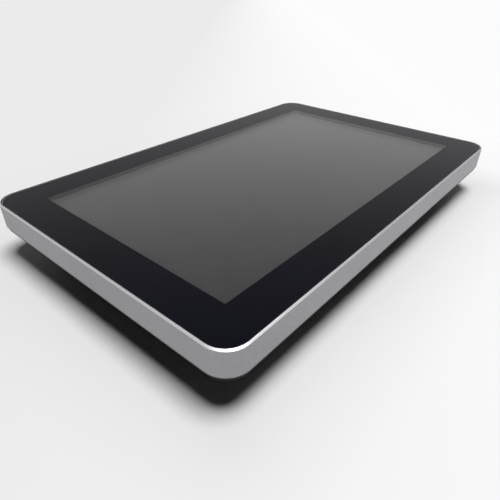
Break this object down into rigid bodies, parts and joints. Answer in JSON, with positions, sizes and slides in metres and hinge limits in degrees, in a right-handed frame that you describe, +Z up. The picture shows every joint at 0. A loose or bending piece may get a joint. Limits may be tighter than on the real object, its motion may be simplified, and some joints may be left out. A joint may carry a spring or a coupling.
{
  "type": "pos touchscreen terminal",
  "caption": "Flat point-of-sale touch terminal: flush glass in an aluminium frame, shallow black rear housing with a jack bay, sliding cable cover, power key and rear mounting holes.",
  "frame": {"origin": "on the table, under the middle of the terminal as it lies on its back", "axes": "+X along the long side to the right of the screen, +Y to the top of the screen, +Z up, out of the glass"},
  "size_m": [0.2636, 0.1698, 0.032],
  "materials": {
    "frame_aluminium": "bead-blasted and anodised, satin, with a polished bevel round the top edge",
    "cover_glass": "clear float glass, polished, flush with the frame",
    "border_ink": "black ink printed on the back of the glass",
    "bonding_tape": "black acrylic foam tape",
    "sensor_film": "clear laminated touch sensor",
    "flex_film": "amber polyimide film",
    "circuit_board": "green solder mask over glass-fibre board",
    "gasket_foam": "black closed-cell foam",
    "bezel_steel": "thin steel, black finish",
    "polariser": "anti-glare polariser over the switched-off display",
    "display_cell": "display glass",
    "optical_sheet": "diffusing and reflecting films",
    "light_guide": "clear acrylic",
    "led_strip": "white LEDs on a film",
    "sheet_steel": "zinc-plated sheet",
    "screw_steel": "zinc-plated screws",
    "black_screw": "black screws",
    "chip_package": "moulded chip packages",
    "thermal_pad": "soft silicone",
    "heatsink_black": "black anodised extrusion",
    "black_nylon": "moulded nylon",
    "blue_card": "blue solder mask",
    "coin_steel": "stainless can",
    "port_shell": "plated sheet shells",
    "ivory_nylon": "moulded connector",
    "black_wire": "thin insulated wire",
    "grey_wire": "thin coaxial cable",
    "red_wire": "thin insulated wire",
    "antenna_film": "printed antenna film",
    "housing_black": "moulded ABS with a fine spark-eroded texture",
    "insert_brass": "knurled brass inserts",
    "foot_rubber": "moulded rubber"
  },
  "bodies": {
    "terminal": {"front_frame": "frame_aluminium", "cover_glass": "cover_glass", "border_print": "border_ink", "glass_tape": "bonding_tape", "touch_sensor": "sensor_film", "touch_flex": "flex_film", "touch_controller": "circuit_board", "touch_cable": "black_wire", "display_gasket": "gasket_foam", "lcd_bezel": "bezel_steel", "front_polariser": "polariser", "lcd_panel": "display_cell", "optical_films": "optical_sheet", "light_guide": "light_guide", "led_strip": "led_strip", "reflector_sheet": "optical_sheet", "lcd_tray": "sheet_steel", "display_bracket_left": "sheet_steel", "display_bracket_right": "sheet_steel", "chassis_plate": "sheet_steel", "chassis_screws": "screw_steel", "mainboard": "circuit_board", "board_screws": "screw_steel", "processor": "chip_package", "thermal_pad": "thermal_pad", "heatsink": "heatsink_black", "heatsink_screws": "screw_steel", "memory_socket": "black_nylon", "memory_module": "circuit_board", "card_sockets": "black_nylon", "ssd_card": "blue_card", "wifi_card": "circuit_board", "card_screws": "screw_steel", "wifi_antennas": "antenna_film", "antenna_cables": "grey_wire", "coin_holder": "black_nylon", "coin_cell": "coin_steel", "dc_jack": "black_nylon", "hdmi_port": "port_shell", "com_jack": "black_nylon", "lan_jack": "port_shell", "drawer_jack": "black_nylon", "usb_ports": "port_shell", "display_connector": "ivory_nylon", "display_cable": "black_wire", "power_switch": "port_shell", "button_board": "circuit_board", "button_cable": "black_wire", "rear_cover": "housing_black", "cover_screws": "black_screw", "mount_inserts": "insert_brass", "rubber_feet": "foot_rubber", "speaker_left": "black_nylon", "speaker_right": "black_nylon", "speaker_gaskets": "gasket_foam", "speaker_cables": "red_wire"},
    "power_key": {"power_button": "frame_aluminium", "switch_plunger": "black_nylon"},
    "cable_cover": {"cable_cover": "housing_black"}
  },
  "joints": [
    {"name": "power_key_press", "type": "slide", "parent": "terminal", "child": "power_key", "axis": [-1, 0, 0], "range_m": [0, 0.00045], "stiffness_N_per_m": 2000},
    {"name": "cable_cover_slide", "type": "slide", "parent": "terminal", "child": "cable_cover", "axis": [0, -1, 0], "range_m": [0, 0.0205]}
  ]
}
